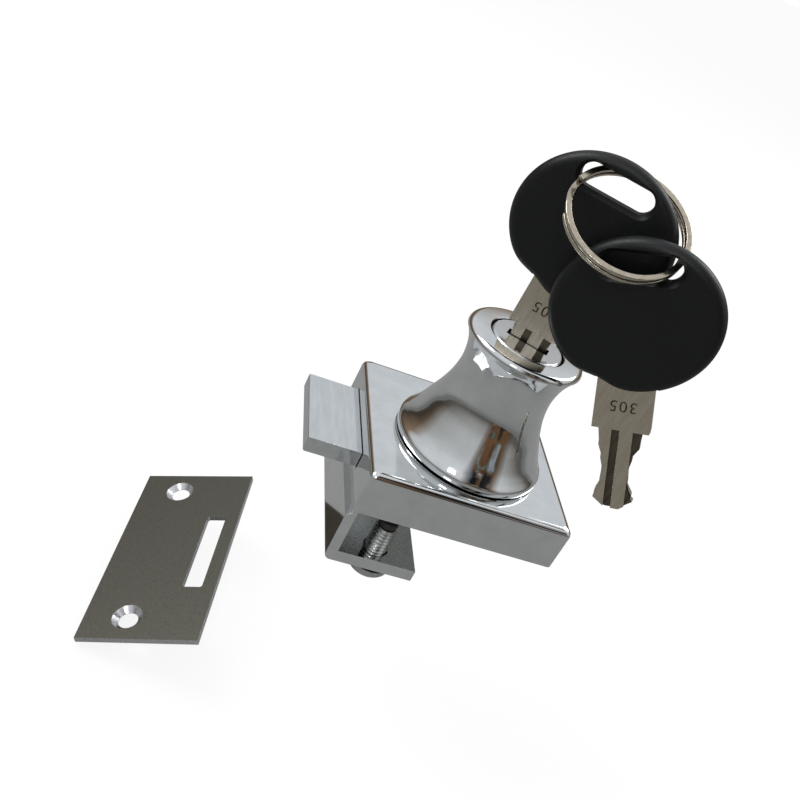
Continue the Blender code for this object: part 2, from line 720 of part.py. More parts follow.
def ring_slot():
    """The slot's cutter, with both mouths flared so that the ring can slant through."""
    loops = []
    for level in (-HEAD_THICK, -HEAD_THICK / 2 + SLOT_FLARE, HEAD_THICK / 2 - SLOT_FLARE, HEAD_THICK):
        grow = max(0, abs(level) - HEAD_THICK / 2 + SLOT_FLARE) * FLARE_SLOPE
        half = SLOT_LENGTH / 2 + grow
        rise = SLOT_WIDTH / 2 + grow
        outline = rounded_slot((-half, half), (SLOT_RISE - rise, SLOT_RISE + rise), rise * 0.99, 5)
        loops.append([(x, y, level) for x, y in outline])
    return loft(loops)


def make_key(index, place, blade_material, head_material, parent):
    """A blade cut on both edges and milled on both faces, with a moulded head round its tang."""
    half = BLADE_THICK / 2
    bit = BIT_WIDE / 2
    name = f"key_{index}"
    blade = add_object(name + "_blade", prism(blade_outline(), -half, half), blade_material, place)
    along = (-SHOULDER_DROP - 2 * BIT_LENGTH, -SHOULDER_DROP)
    front = (half - GROOVE_DEEP, 2 * half)
    back = (-2 * half, -half + GROOVE_DEEP)
    groove = (FRONT_GROOVE - GROOVE_WIDE / 2, FRONT_GROOVE + GROOVE_WIDE / 2)
    cut(blade, f"cut_front_groove_{index}", block(groove, along, front), place)
    groove = (BACK_GROOVE - GROOVE_WIDE / 2, BACK_GROOVE + GROOVE_WIDE / 2)
    cut(blade, f"cut_back_groove_{index}", block(groove, along, back), place)
    cut(blade, f"cut_ledge_{index}", block((bit - LEDGE_WIDE, 2 * bit), along, front), place)
    attach(blade, parent)

    angles = [math.tau * k / 44 for k in range(44)]
    oval = [(HEAD_WIDTH / 2 * math.cos(a), HEAD_HEIGHT / 2 * math.sin(a)) for a in angles]
    bm = prism(oval, -HEAD_THICK / 2, HEAD_THICK / 2)
    round_edges(bm, HEAD_ROUND, lambda e: abs(e.verts[0].co.z - e.verts[1].co.z) < 1e-6, 2)
    head = add_object(name + "_head", bm, head_material, place, 50)
    cut(head, f"cut_ring_slot_{index}", ring_slot(), place)
    wide = TANG_WIDE / 2 + GAP
    tang = block((-wide, wide), (-HEAD_HEIGHT, -TANG_TOP + GAP), (-half - GAP, half + GAP))
    cut(head, f"cut_tang_{index}", tang, place)
    attach(head, parent)


def key_frame(lean, along, above, ahead):
    """A key's own frame over the plug's face: X across the key, Y along it, Z out of its face."""
    flat = Vector((math.cos(KEYWAY_TURN), math.sin(KEYWAY_TURN), 0))
    up = Vector((0, 0, 1))
    out = flat.cross(up)
    origin = Vector((0, 0, TOP_Z)) + flat * along + up * above + out * ahead
    across = flat * math.cos(lean) + up * math.sin(lean)
    length = up * math.cos(lean) - flat * math.sin(lean)
    frame = Matrix((across, length, out)).transposed().to_4x4()
    return Matrix.Translation(origin) @ frame


def make_ring(material, middle, parent):
    """A split ring of two flat coils, with a jog where the strip changes from one to the other."""
    normal = Vector(RING_NORMAL).normalized()
    side = normal.cross(Vector((0, 0, 1))).normalized()
    front = normal.cross(side)
    section = rounded_slot(
        (-RING_WIRE / 2, RING_WIRE / 2), (-RING_STRIP / 2, RING_STRIP / 2), RING_STRIP / 4, 2
    )
    rings = []
    for k in range(RING_STEPS + 1):
        angle = RING_END + (2 * math.tau - 2 * RING_END) * k / RING_STEPS
        share = min(max((angle - math.tau + RING_CROSSING) / (2 * RING_CROSSING), 0), 1)
        rise = (share * share * (3 - 2 * share) - 0.5) * RING_PITCH
        outward = side * math.cos(angle) + front * math.sin(angle)
        centre = middle + normal * rise
        rings.append([centre + outward * (RING_R + a) + normal * b for a, b in section])
    ring = add_object("split_ring", loft(rings), material, smooth=35)
    attach(ring, parent)


# Strike plate


def make_strike(material):
    place = at(*STRIKE_CORNER) @ Matrix.Rotation(STRIKE_TILT, 4, "Y")
    place = place @ Matrix.Rotation(STRIKE_TURN, 4, "Z")
    plate = block((0, STRIKE_WIDTH), (0, STRIKE_LENGTH), (-STRIKE_THICK, 0))
    strike = add_object("strike_plate", plate, material, place)
    half = STRIKE_SLOT_WIDTH / 2
    reach = (BOLT_FAR - BOLT_NEAR) / 2 + GAP
    middle = STRIKE_LENGTH / 2
    slot = rounded_slot(
        (STRIKE_SLOT_SIDE - half, STRIKE_SLOT_SIDE + half),
        (middle - reach, middle + reach),
        STRIKE_SLOT_CORNER,
    )
    cut(strike, "cut_strike_slot", prism(slot, -2 * STRIKE_THICK, STRIKE_THICK), place)
    sink = STRIKE_SINK_R - STRIKE_HOLE_R
    for index, y in enumerate((STRIKE_HOLE_END, STRIKE_LENGTH - STRIKE_HOLE_END), start=1):
        profile = [
            (0, STRIKE_THICK),
            (STRIKE_SINK_R + STRIKE_THICK, STRIKE_THICK),
            (STRIKE_HOLE_R, -sink),
            (STRIKE_HOLE_R, -2 * STRIKE_THICK),
            (0, -2 * STRIKE_THICK),
        ]
        hole = turned(profile, 28)
        cut(strike, f"cut_strike_hole_{index}", hole, place @ at(STRIKE_HOLE_SIDE, y))


def main():
    for obj in list(bpy.data.objects):
        bpy.data.objects.remove(obj, do_unlink=True)

    chrome = make_material("chrome_zinc", "c4c6c8", 0.06, 1.0)
    steel = make_material("plated_steel", "b4b6b6", 0.22, 1.0)
    satin = make_material("satin_steel", "6c6a64", 0.34, 1.0)
    brass = make_material("wafer_brass", "b59a5c", 0.35, 1.0)
    nickel = make_material("nickel_silver", "8a8172", 0.28, 1.0)
    plastic = make_material("black_plastic", "15181a", 0.42, 0.0)
    nylon = make_material("dark_nylon", "3a3836", 0.55, 0.0)

    make_housing(chrome)
    make_back_cover(steel)
    make_cover_screws(steel)
    make_knob(chrome)
    make_knob_screws(steel)

    plug_axis = add_axis("plug_axis")
    make_plug(chrome, plug_axis)
    make_wafers(brass, steel, plug_axis)
    make_clip(steel, plug_axis)
    make_cam(steel, plug_axis)

    bolt_axis = add_axis("bolt_axis", (BOX_LEFT, (BOLT_NEAR + BOLT_FAR) / 2, BOLT_BACK))
    make_bolt(chrome, bolt_axis)

    for index, y in enumerate(CLAMP_SIDES, start=1):
        make_clamp(index, y, steel, nylon)

    key_axis = add_axis("key_axis", (0, 0, TOP_Z), plug_axis)
    first = key_frame(0.0, 0.0, KEY_1_ABOVE, 0.0)
    make_key(1, first, nickel, plastic, key_axis)
    middle = first @ Vector((HEAD_WIDTH / 2 - RING_INSIDE, RING_ABOVE, RING_AHEAD))
    ring_axis = add_axis("ring_axis", middle, key_axis)
    make_ring(nickel, middle, ring_axis)
    second = key_frame(KEY_2_LEAN, KEY_2_ALONG, KEY_2_ABOVE, KEY_2_AHEAD)
    hanging_axis = add_axis("hanging_key_axis", second.translation, ring_axis)
    make_key(2, second, nickel, plastic, hanging_axis)

    make_strike(satin)
    bpy.context.view_layer.update()


main()
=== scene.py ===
import math

import bpy
from mathutils import Matrix, Vector


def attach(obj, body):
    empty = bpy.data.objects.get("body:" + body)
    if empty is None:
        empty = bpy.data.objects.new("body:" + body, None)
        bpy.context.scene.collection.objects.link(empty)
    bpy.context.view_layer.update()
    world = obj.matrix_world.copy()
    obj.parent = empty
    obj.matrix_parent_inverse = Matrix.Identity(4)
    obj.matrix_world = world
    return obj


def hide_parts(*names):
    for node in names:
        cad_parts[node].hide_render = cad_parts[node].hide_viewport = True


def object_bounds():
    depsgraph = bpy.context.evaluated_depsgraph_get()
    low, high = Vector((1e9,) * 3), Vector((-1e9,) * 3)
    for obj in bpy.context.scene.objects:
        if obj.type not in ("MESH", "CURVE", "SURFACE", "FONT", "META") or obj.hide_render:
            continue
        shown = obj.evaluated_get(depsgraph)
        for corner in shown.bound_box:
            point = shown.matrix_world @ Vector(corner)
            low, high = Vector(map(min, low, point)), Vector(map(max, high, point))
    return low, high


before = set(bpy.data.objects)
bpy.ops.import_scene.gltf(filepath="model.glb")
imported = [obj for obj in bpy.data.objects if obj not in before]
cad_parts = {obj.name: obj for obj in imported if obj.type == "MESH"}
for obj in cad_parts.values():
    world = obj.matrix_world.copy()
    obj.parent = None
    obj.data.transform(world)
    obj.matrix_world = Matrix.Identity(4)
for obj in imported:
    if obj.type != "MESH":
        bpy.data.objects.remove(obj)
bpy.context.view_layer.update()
print("frame loaded")

mm = 0.001
sameCorner = 1e-6  # in metres, corners closer than this are one
flatAngle = 0.6  # in degrees, faces of a CAD solid that meet flatter than this are one


def linearColour(text):
    # hex sRGB to linear RGBA
    parts = [int(text[i:i + 2], 16) / 255 for i in (0, 2, 4)]
    return [p / 12.92 if p <= 0.04045 else ((p + 0.055) / 1.055) ** 2.4 for p in parts] + [1.0]


def addNode(owner, kind, values=None, inputs=None, links=None):
    # one shader node with its settings, its socket values and its incoming links
    node = owner.node_tree.nodes.new(kind)
    for key, value in (values or {}).items():
        setattr(node, key, value)
    for key, value in (inputs or {}).items():
        node.inputs[key].default_value = value
    for key, source in (links or {}).items():
        owner.node_tree.links.new(source, node.inputs[key])
    return node


def clearSelection():
    if bpy.context.object and bpy.context.object.mode != "OBJECT":
        bpy.ops.object.mode_set(mode="OBJECT")
    bpy.ops.object.select_all(action="DESELECT")


def activate(piece):
    clearSelection()
    piece.select_set(True)
    bpy.context.view_layer.objects.active = piece


def applyModifier(piece, kind, **settings):
    activate(piece)
    modifier = piece.modifiers.new(kind.lower(), kind)
    for key, value in settings.items():
        setattr(modifier, key, value)
    bpy.ops.object.modifier_apply(modifier=modifier.name)


def cutAway(piece, cutter):
    applyModifier(piece, "BOOLEAN", operation="DIFFERENCE", object=cutter)
    bpy.data.objects.remove(cutter)


def addBlock(size, location):
    # a block with its place in its mesh, sizes in mm
    clearSelection()
    bpy.ops.mesh.primitive_cube_add(size=1, location=[v * mm for v in location])
    block = bpy.context.object
    block.scale = [v * mm for v in size]
    bpy.ops.object.transform_apply(location=True, rotation=True, scale=True)
    return block


def placePiece(piece, place):
    # moves a finished piece to its place and keeps that place in its mesh
    activate(piece)
    piece.matrix_world = place
    bpy.ops.object.transform_apply(location=True, rotation=True, scale=True)


def smoothPiece(piece, degrees, weighted=False):
    activate(piece)
    bpy.ops.object.shade_smooth_by_angle(angle=math.radians(degrees))
    if weighted:
        # large flat faces keep their own normals, so they mirror without a gradient
        applyModifier(piece, "WEIGHTED_NORMAL", keep_sharp=True, weight=100)


def tidyMesh(piece):
    activate(piece)
    bpy.ops.object.mode_set(mode="EDIT")
    bpy.ops.mesh.select_all(action="SELECT")
    bpy.ops.mesh.remove_doubles(threshold=sameCorner)
    bpy.ops.mesh.normals_make_consistent(inside=False)
    bpy.ops.object.mode_set(mode="OBJECT")


def finishPiece(piece, material, body, node):
    piece.data.materials.clear()
    piece.data.materials.append(material)
    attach(piece, body)
    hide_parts(node)


def pieceFromNode(node, name, flatten=True):
    # a merged copy of a CAD node, with flat areas made single faces again
    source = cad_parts[node]
    piece = bpy.data.objects.new(name, source.data.copy())
    bpy.context.scene.collection.objects.link(piece)
    activate(piece)
    bpy.ops.object.mode_set(mode="EDIT")
    bpy.ops.mesh.select_all(action="SELECT")
    bpy.ops.mesh.remove_doubles(threshold=2 * sameCorner)
    if flatten:
        bpy.ops.mesh.dissolve_limited(angle_limit=math.radians(flatAngle))
    bpy.ops.object.mode_set(mode="OBJECT")
    return piece


def turnProfile(name, points, steps):
    # draws the profile corner by corner in X and Z, then turns it about Z
    clearSelection()
    bpy.ops.mesh.primitive_plane_add(size=mm, location=(points[0][0], 0, points[0][1]))
    piece = bpy.context.object
    piece.name = piece.data.name = name
    bpy.ops.object.transform_apply(location=True, rotation=True, scale=True)
    bpy.ops.object.mode_set(mode="EDIT")
    bpy.ops.mesh.select_mode(type="VERT")
    bpy.ops.mesh.select_all(action="SELECT")
    bpy.ops.mesh.merge(type="CENTER")
    for (lastR, lastZ), (r, z) in zip(points, points[1:]):
        bpy.ops.mesh.extrude_vertices_move(TRANSFORM_OT_translate={"value": (r - lastR, 0, z - lastZ)})
    bpy.ops.object.mode_set(mode="OBJECT")
    applyModifier(piece, "SCREW", steps=steps, render_steps=steps, use_merge_vertices=True,
                  merge_threshold=sameCorner, use_smooth_shade=True)
    tidyMesh(piece)
    return piece


def smoothCurve(points, count):
    # a Catmull-Rom curve through the points
    out = []
    padded = [points[0]] + list(points) + [points[-1]]
    for i in range(1, len(padded) - 2):
        a, b, c, d = padded[i - 1:i + 3]
        for k in range(count):
            t = k / count
            out.append(tuple(0.5 * (2 * q + (r - p) * t + (2 * p - 5 * q + 4 * r - s) * t * t
                                    + (3 * q - p - 3 * r + s) * t ** 3)
                             for p, q, r, s in zip(a, b, c, d)))
    return out + [points[-1]]


def arcPoints(centreR, centreZ, radius, start, end, count):
    angles = [math.radians(start + (end - start) * k / count) for k in range(count + 1)]
    return [(centreR + radius * math.cos(a), centreZ + radius * math.sin(a)) for a in angles]


# scale is grains in a metre, so 1000 is a grain of 1 mm, and a stretch below 1 draws it longer that way;
# rough and colours are the two ends that the grain runs between, bump is its strength and height in metres
finishes = {
    # bright chrome plate on a polished zinc casting: a clear mirror with faint waves, 4 mm long
    "chrome": {"name": "chromePlatedZinc", "metallic": 1.0, "scale": 260.0, "stretch": (1, 1, 1),
               "rough": (0.035, 0.09), "bump": (0.012, 0.0002), "colours": ("cccecf", "d8dadb")},
    # chrome plate over a ground steel surface: a softer mirror, with grinding marks 1 mm wide
    # and 7 mm long, drawn far coarser than the real ones so that they show
    "ground": {"name": "chromePlatedSteelGround", "metallic": 1.0, "scale": 900.0, "stretch": (1, 0.15, 1),
               "rough": (0.08, 0.17), "bump": (0.03, 0.0001), "colours": ("c4c7c9", "d4d6d8")},
    # zinc plated steel screws and pressed cover: satin with a slight spread of grey, 0.7 mm
    "zinc": {"name": "zincPlatedSteel", "metallic": 1.0, "scale": 1400.0, "stretch": (1, 1, 1),
             "rough": (0.2, 0.34), "bump": (0.05, 0.0001), "colours": ("a8aaa9", "c4c5c2")},
    # dark satin nickel on rolled steel sheet: a soft sheen with a grain of 0.4 by 0.8 mm, coarser than real
    "satin": {"name": "satinNickelSheet", "metallic": 1.0, "scale": 2600.0, "stretch": (1, 0.5, 1),
              "rough": (0.27, 0.33), "bump": (0.02, 0.0001), "colours": ("5c5a51", "63615a")},
    # the plate's sheared edge and turned countersinks, a brighter copy of its satin finish: a painted
    # highlight where these edges catch the light
    "edgeHighlight": {"name": "satinNickelEdgeHighlight", "metallic": 1.0, "scale": 2600.0, "stretch": (1, 1, 1),
                "rough": (0.18, 0.3), "bump": (0.06, 0.0001), "colours": ("c6c6ca", "dcdce0")},
    # nickel plated brass key blades: milled, with lines 0.6 mm wide and 5 mm long
    "nickel": {"name": "nickelPlatedBrass", "metallic": 1.0, "scale": 1600.0, "stretch": (1, 1, 0.12),
               "rough": (0.22, 0.36), "bump": (0.08, 0.0001), "colours": ("b3a898", "c4bbac")},
    # the same plate where the cutter and the punch left it rougher, its colour darkened as painted shade in
    # the grooves, the ledge and the digits
    "recess": {"name": "nickelPlatedGrooveShade", "metallic": 1.0, "scale": 1600.0, "stretch": (1, 1, 0.12),
               "rough": (0.36, 0.5), "bump": (0.1, 0.0001), "colours": ("4c463c", "6b6356")},
    # drawn and nickel plated spring wire: brighter, with faint marks of 0.8 mm
    "wire": {"name": "nickelPlatedWire", "metallic": 1.0, "scale": 1200.0, "stretch": (1, 1, 1),
             "rough": (0.15, 0.28), "bump": (0.04, 0.0001), "colours": ("a69d8e", "bfb6a7")},
    # moulded black ABS with a spark texture: soft grey sheen, no clear reflections,
    # its grain of 0.3 mm drawn three times as coarse as real so that it shows
    "plastic": {"name": "mouldedBlackAbs", "metallic": 0.0, "scale": 3200.0, "stretch": (1, 1, 1),
                "rough": (0.36, 0.5), "bump": (0.22, 0.0001), "colours": ("08090a", "0f1112"),
                "sockets": {"IOR": 1.46, "Specular IOR Level": 0.36}},
    # moulded nylon pads: dull dark grey, with a grain of 0.4 mm
    "nylon": {"name": "mouldedNylon", "metallic": 0.0, "scale": 2400.0, "stretch": (1, 1, 1),
              "rough": (0.5, 0.62), "bump": (0.1, 0.0001), "colours": ("262524", "333130")},
    # stamped brass wafers: yellow, with rolling lines 0.7 mm wide and 3 mm long
    "brass": {"name": "stampedBrass", "metallic": 1.0, "scale": 1500.0, "stretch": (1, 0.2, 1),
              "rough": (0.26, 0.4), "bump": (0.05, 0.0001), "colours": ("a88c4e", "c4a768")},
}
grainNoise = {"Detail": 5.0, "Roughness": 0.6}
grainBand = (0.3, 0.7)  # the noise lies mostly between these, and the finishes spread over them


def makeMaterial(finish):
    material = bpy.data.materials.new(finish["name"])
    material.use_nodes = True
    shader = material.node_tree.nodes["Principled BSDF"]
    shader.inputs["Metallic"].default_value = finish["metallic"]
    for key, value in finish.get("sockets", {}).items():
        shader.inputs[key].default_value = value
    where = addNode(material, "ShaderNodeTexCoord")
    mapping = addNode(material, "ShaderNodeMapping", inputs={"Scale": finish["stretch"]},
                      links={"Vector": where.outputs["Object"]})
    grain = addNode(material, "ShaderNodeTexNoise", inputs={"Scale": finish["scale"], **grainNoise},
                    links={"Vector": mapping.outputs["Vector"]})
    rough = addNode(material, "ShaderNodeMapRange",
                    inputs={"From Min": grainBand[0], "From Max": grainBand[1],
                            "To Min": finish["rough"][0], "To Max": finish["rough"][1]},
                    links={"Value": grain.outputs["Fac"]})
    height = addNode(material, "ShaderNodeBump",
                     inputs={"Strength": finish["bump"][0], "Distance": finish["bump"][1]},
                     links={"Height": grain.outputs["Fac"]})
    tint = addNode(material, "ShaderNodeValToRGB", links={"Fac": grain.outputs["Fac"]})
    for element, position, colour in zip(tint.color_ramp.elements, grainBand, finish["colours"]):
        element.position = position
        element.color = linearColour(colour)
    links = material.node_tree.links
    links.new(rough.outputs["Result"], shader.inputs["Roughness"])
    links.new(height.outputs["Normal"], shader.inputs["Normal"])
    links.new(tint.outputs["Color"], shader.inputs["Base Color"])
    return material


materials = {key: makeMaterial(finish) for key, finish in finishes.items()}
print("materials made")


# these start from their CAD solids and get worked edges
sheetPieces = {
    # node: piece, body, slot, finish, edge width in mm, edge segments
    "housing": ("castHousing", "lock", "chrome_zinc", "chrome", 0.16, 2),
    "back_cover": ("pressedCover", "lock", "plated_steel", "zinc", 0.08, 1),
    "bolt": ("flatBolt", "bolt", "chrome_zinc", "ground", 0.2, 3),
    "plug": ("cylinderPlug", "cylinder", "chrome_zinc", "ground", 0.06, 1),
    "strike_plate": ("strikePlate", "lock", "satin_steel", "satin", 0.12, 2),
}
sheetEdges = {
    # degrees from which an edge is worked and up to which faces shade as one,
    # and the cosine above which a face lies along the plate
    "worked": 42, "soft": 38, "alongPlate": 0.9,
}
housingCorners = {
    # sides of the box in mm, where the corners start, how far in the front's rounding goes,
    # how far off its corner an edge may be and how steep it is at least
    "x": (-20.4, 19.6), "y": (-17.5, 20.7), "low": -0.4, "reach": 1.45, "off": 0.01, "rise": 0.05,
    "round": 0.9, "segments": 4,
}


def roundHousingCorners(piece):
    # the four upright corners, with the short lines in which the front's roundings meet
    c = housingCorners
    activate(piece)
    bpy.ops.object.mode_set(mode="EDIT")
    bpy.ops.mesh.select_mode(type="EDGE")
    bpy.ops.mesh.select_all(action="DESELECT")
    bpy.ops.object.mode_set(mode="OBJECT")
    for edge in piece.data.edges:
        ends = [piece.data.vertices[i].co / mm for i in edge.vertices]
        insets = [(min(abs(e.x - x) for x in c["x"]), min(abs(e.y - y) for y in c["y"])) for e in ends]
        onCorner = all(abs(dx - dy) < c["off"] and dx < c["reach"] for dx, dy in insets)
        steep = abs(ends[0].z - ends[1].z) > c["rise"]
        if onCorner and steep and min(e.z for e in ends) > c["low"]:
            edge.select = True
    bpy.ops.object.mode_set(mode="EDIT")
    bpy.ops.mesh.bevel(offset=c["round"] * mm, segments=c["segments"], affect="EDGES",
                       clamp_overlap=False)
    bpy.ops.object.mode_set(mode="OBJECT")


def paintPlateEdgeHighlight(piece):
    # the edges and countersinks are the faces that don't lie along the plate, and they get the painted
    # highlight
    piece.data.materials.append(materials["edgeHighlight"])
    flat = max(piece.data.polygons, key=lambda face: face.area).normal
    for face in piece.data.polygons:
        if abs(face.normal.dot(flat)) < sheetEdges["alongPlate"]:
            face.material_index = 1


def makeSheetPieces():
    for node, (name, body, slotName, key, width, segments) in sheetPieces.items():
        piece = pieceFromNode(node, name)
        if node == "housing":
            roundHousingCorners(piece)
        applyModifier(piece, "BEVEL", width=width * mm, segments=segments, limit_method="ANGLE",
                      angle_limit=math.radians(sheetEdges["worked"]), use_clamp_overlap=True,
                      harden_normals=False, miter_outer="MITER_ARC")
        smoothPiece(piece, sheetEdges["soft"], weighted=True)
        finishPiece(piece, materials[key], body, node)
        # the strike plate's edges and countersinks get the brighter material, a painted highlight
        if node == "strike_plate":
            paintPlateEdgeHighlight(piece)


makeSheetPieces()
print("housing, bolt, cover, plug and strike plate made")


knob = {
    # radius and height above the housing's front in mm, from the foot up and down again through the bore
    "footEdge": [(14.55, 0.3), (14.74, 0.42), (14.8, 0.62), (14.8, 1.4), (14.7, 1.7)],
    "waist": [(14.5, 2.0), (13.75, 3.1), (12.9, 4.6), (11.75, 7.1), (10.55, 10.0), (9.65, 13.0),
              (9.22, 16.2), (9.36, 18.6), (9.82, 20.8), (10.5, 22.5), (11.3, 24.0)],
    "waistSteps": 14, "topRadius": 11.4, "rimRound": 1.1, "rimSteps": 12,
    "bore": [(7.45, 25.1), (7.3, 24.95), (7.3, 4.2), (4.3, 4.2), (4.3, 2.0), (6.3, 2.0), (6.3, 0.3)],
    "front": 9.0, "top": 34.1,  # the housing's front and the knob's top, above the pane
    "steps": 240, "soft": 32,
}


def makeKnob():
    front = knob["front"]
    rim = knob["rimRound"]
    side = knob["footEdge"] + smoothCurve(knob["waist"], knob["waistSteps"])[:-1]
    side += arcPoints(knob["topRadius"] - rim, knob["top"] - front - rim, rim, 0, 90, knob["rimSteps"])
    points = [(r * mm, (front + z) * mm) for r, z in side + knob["bore"]]
    piece = turnProfile("turnedKnob", points + points[:1], knob["steps"])
    smoothPiece(piece, knob["soft"])
    finishPiece(piece, materials["chrome"], "lock", "knob")


makeKnob()
print("knob made")


clampScrew = {
    # all in mm: where the screws stand, from their tip down to the head
    "x": -11.8, "sides": (-13.4, 16.6), "top": -4.1, "seat": -12.3,
    "major": 2.2, "minor": 1.86, "pitch": 0.8, "plainTip": 0.1, "plainNeck": 0.3,
    "head": 2.9, "headRadius": 4.3, "headEdge": 0.6, "domeStep": 8, "domeEnd": 72,  # in degrees
    "crossReach": 2.0, "crossHalf": 0.5, "crossDeep": 1.4, "padEdge": 0.15,
    # the thread as turned grooves: which radius, and at what share of the pitch
    "thread": [("minor", 0.0), ("major", 0.36), ("major", 0.5), ("minor", 0.86)],
    "steps": 64, "soft": 40,
}


def clampScrewProfile():
    s = clampScrew
    points = [(0, s["top"]), (s["minor"], s["top"])]
    z = s["top"] - s["plainTip"]
    while z - s["pitch"] > s["seat"] + s["plainNeck"]:
        points += [(s[radius], z - share * s["pitch"]) for radius, share in s["thread"]]
        z -= s["pitch"]
    edge = s["seat"] - s["headEdge"]
    points += [(s["minor"], s["seat"]), (s["headRadius"], s["seat"]), (s["headRadius"], edge)]
    rise = (s["head"] - s["headEdge"]) / math.sin(math.radians(s["domeEnd"]))
    for degrees in range(s["domeStep"], s["domeEnd"] + 1, s["domeStep"]):
        angle = math.radians(degrees)
        points.append((s["headRadius"] * math.cos(angle), edge - rise * math.sin(angle)))
    points.append((0, s["seat"] - s["head"]))
    return [(r * mm, z * mm) for r, z in points]


def makeClampScrew(index, y):
    s = clampScrew
    piece = turnProfile(f"threadedScrew{index}", clampScrewProfile(), s["steps"])
    bottom = s["seat"] - s["head"]
    for reach, half in ((s["crossReach"], s["crossHalf"]), (s["crossHalf"], s["crossReach"])):
        cutAway(piece, addBlock((2 * reach, 2 * half, 2 * s["crossDeep"]), (0, 0, bottom)))
    placePiece(piece, Matrix.Translation((s["x"] * mm, y * mm, 0)))
    smoothPiece(piece, s["soft"])
    finishPiece(piece, materials["zinc"], f"clamp_screw_{index}", f"clamp_screw_{index}")


def makeClampPad(index):
    pad = pieceFromNode(f"clamp_pad_{index}", f"softPad{index}")
    applyModifier(pad, "BEVEL", width=clampScrew["padEdge"] * mm, segments=2, limit_method="ANGLE",
                  angle_limit=math.radians(clampScrew["soft"]))
    smoothPiece(pad, clampScrew["soft"])
    finishPiece(pad, materials["nylon"], f"clamp_pad_{index}", f"clamp_pad_{index}")


for screwIndex, screwSide in enumerate(clampScrew["sides"], start=1):
    makeClampScrew(screwIndex, screwSide)
    makeClampPad(screwIndex)
print("clamp screws made")


keyTurn = math.radians(-26.0)  # the keyway about the plug's axis
keyPlaces = {
    # lean in degrees, then mm along the blade's plane, above the plug's face and in front of the plug
    "key_1": (0.0, 0.0, 22.8, 0.0),
    "key_2": (24.0, 13.2, 16.2, 6.5),
}
keyHead = {
    # all in mm, about the middle of the head
    "width": 28.8, "height": 26.4, "thick": 3.8, "round": 1.75, "roundSegments": 9, "corners": 144,
    "slotLength": 13.2, "slotWidth": 4.2, "slotRise": 8.6, "slotCorners": 48,
    "flare": 0.9, "flareSlope": 0.8, "flareMost": 3.0,
    "tangWidth": 10.6, "tangThick": 2.6, "tangTop": -3.3,
    "dip": 0.9, "dipBearing": 248, "dipSpread": 0.24,  # the hollow in the lower edge, beside the tang
    "worked": 50, "soft": 35,
}
keyBlade = {
    "half": 1.0, "edge": 0.1, "grooveFrom": 0.94,  # mm from the middle of the blade
    "worked": 40, "soft": 30, "facing": 0.5,
    "stamp": "305", "stampSize": 2.9, "stampDeep": 0.12, "stampHeight": -15.8, "stampSpacing": 1.15,
}


def keyFrame(lean, along, above, ahead):
    # a key's own frame: X across the blade, Y up the key, Z out of its face
    flat = Vector((math.cos(keyTurn), math.sin(keyTurn), 0))
    up = Vector((0, 0, 1))
    out = flat.cross(up)
    origin = Vector((0, 0, knob["top"] * mm)) + flat * along * mm + up * above * mm + out * ahead * mm
    lean = math.radians(lean)
    across = flat * math.cos(lean) + up * math.sin(lean)
    length = up * math.cos(lean) - flat * math.sin(lean)
    return Matrix.Translation(origin) @ Matrix((across, length, out)).transposed().to_4x4()


def makeSlotCutter():
    h = keyHead
    clearSelection()
    bpy.ops.mesh.primitive_cylinder_add(vertices=h["slotCorners"], radius=h["slotWidth"] / 2 * mm,
                                        depth=6 * h["thick"] * mm)
    cutter = bpy.context.object
    straight = (h["slotLength"] - h["slotWidth"]) / 2 * mm
    for vertex in cutter.data.vertices:
        vertex.co.x += straight if vertex.co.x > 0 else -straight
    # four cuts across give the straight middle and the flared mouths
    bpy.ops.object.mode_set(mode="EDIT")
    inner = (h["thick"] / 2 - h["flare"]) * mm
    for level in (-3 * h["flare"] * mm, -inner, inner, 3 * h["flare"] * mm):
        bpy.ops.mesh.select_all(action="SELECT")
        bpy.ops.mesh.bisect(plane_co=(0, 0, level), plane_no=(0, 0, 1))
    bpy.ops.object.mode_set(mode="OBJECT")
    for vertex in cutter.data.vertices:
        grow = max(0.0, abs(vertex.co.z) - inner) * h["flareSlope"]
        side = straight if vertex.co.x > 0 else -straight
        spoke = Vector((vertex.co.x - side, vertex.co.y))
        if spoke.length > 1e-9:
            spoke *= 1 + min(grow, h["flareMost"] * mm) / spoke.length
        vertex.co.x, vertex.co.y = spoke.x + side, spoke.y + h["slotRise"] * mm
    tidyMesh(cutter)
    return cutter


def makeKeyHead(index):
    h = keyHead
    clearSelection()
    bpy.ops.mesh.primitive_cylinder_add(vertices=h["corners"], radius=1.0, depth=h["thick"] * mm)
    piece = bpy.context.object
    piece.name = f"mouldedHead{index}"
    for vertex in piece.data.vertices:
        angle = math.atan2(vertex.co.y, vertex.co.x)
        away = angle - math.radians(h["dipBearing"])
        away = math.atan2(math.sin(away), math.cos(away))
        dip = h["dip"] * math.exp(-(away / h["dipSpread"]) ** 2)
        vertex.co.x = (h["width"] / 2 - dip) * math.cos(angle) * mm
        vertex.co.y = (h["height"] / 2 - dip) * math.sin(angle) * mm
    applyModifier(piece, "BEVEL", width=h["round"] * mm, segments=h["roundSegments"],
                  limit_method="ANGLE", angle_limit=math.radians(h["worked"]), profile=0.5)
    cutAway(piece, makeSlotCutter())
    low = -h["height"]
    cutAway(piece, addBlock((h["tangWidth"], h["tangTop"] - low, h["tangThick"]),
                            (0, (low + h["tangTop"]) / 2, 0)))
    placePiece(piece, keyFrame(*keyPlaces[f"key_{index}"]))
    smoothPiece(piece, h["soft"])
    finishPiece(piece, materials["plastic"], f"key_{index}", f"key_{index}_head")


